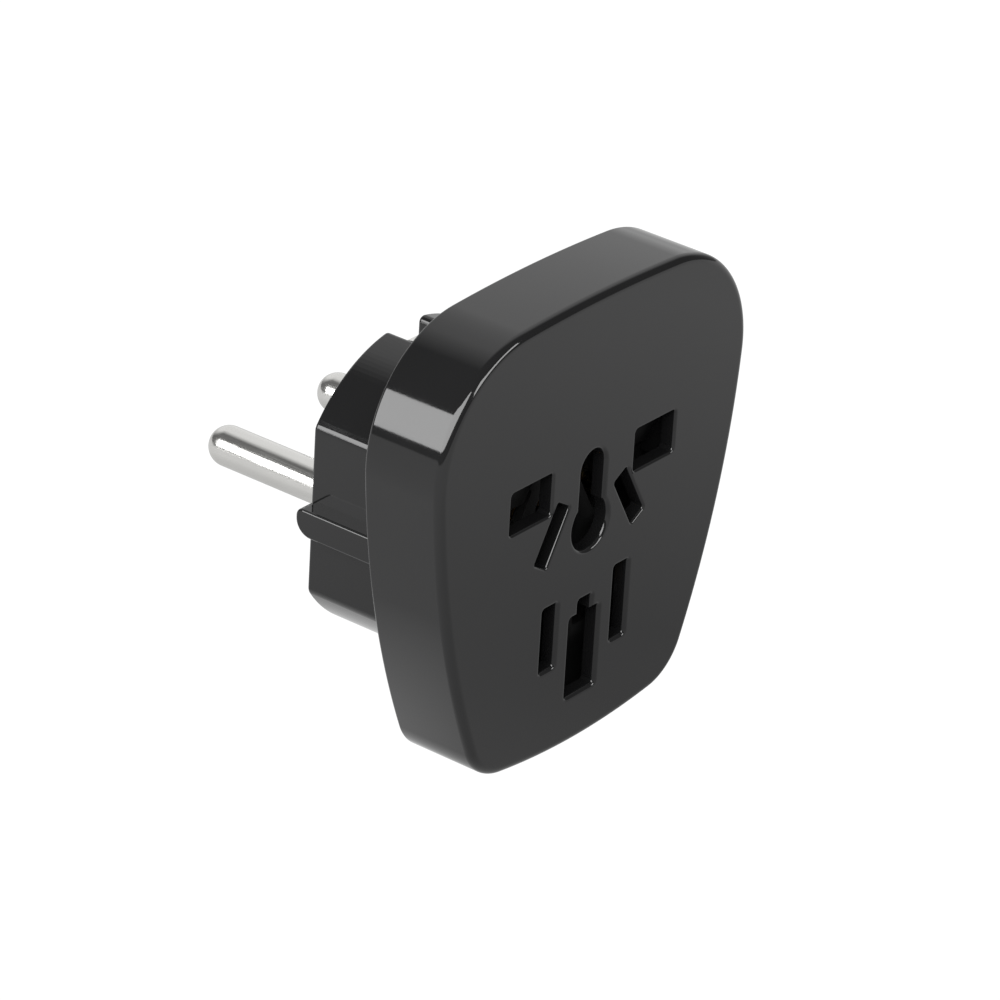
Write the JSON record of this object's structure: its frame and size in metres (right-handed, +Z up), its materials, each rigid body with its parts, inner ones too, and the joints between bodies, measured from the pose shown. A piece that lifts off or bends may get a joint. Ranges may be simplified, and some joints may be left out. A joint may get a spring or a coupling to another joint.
{
  "type": "universal travel adapter",
  "caption": "Travel adapter: shield-shaped black body with a multi-standard socket face in front and a round, side-grounded plug with two round pins behind.",
  "frame": {"origin": "on the plug's end face, midway between the two pins", "axes": "+Y out of the plug's end face along the pins, +X to the right as seen from in front of the socket face, +Z up"},
  "size_m": [0.0544, 0.0465, 0.0552],
  "materials": {
    "gloss_black": "polished moulded black plastic",
    "inner_black": "matt moulded black plastic",
    "carrier_ivory": "matt heat-resistant moulding",
    "brass": "bright stamped sheet",
    "nickel": "bright nickel plate",
    "spring_steel": "drawn spring wire",
    "screw_steel": "zinc-plated steel"
  },
  "bodies": {
    "housing": {"front_housing": "gloss_black", "rear_housing": "gloss_black", "contact_cover": "inner_black", "shutter_spring": "spring_steel", "contact_carrier": "carrier_ivory", "live_bar": "brass", "neutral_bar": "brass", "live_round_clip": "brass", "neutral_round_clip": "brass", "live_slant_clip": "brass", "neutral_slant_clip": "brass", "live_blade_clip": "brass", "neutral_blade_clip": "brass", "earth_strap": "brass", "earth_round_clip": "brass", "earth_blade_clip": "brass", "earth_clip_top": "nickel", "earth_clip_bottom": "nickel", "live_pin": "nickel", "neutral_pin": "nickel", "contact_rivets": "nickel", "housing_screws": "screw_steel"},
    "shutter": {"shutter": "inner_black"}
  },
  "joints": [
    {"name": "shutter_slide", "type": "slide", "parent": "housing", "child": "shutter", "axis": [0, 0, 1], "range_m": [0, 0.0057], "stiffness_N_per_m": 120, "springref_m": -0.004, "deforming": ["shutter_spring"]}
  ]
}
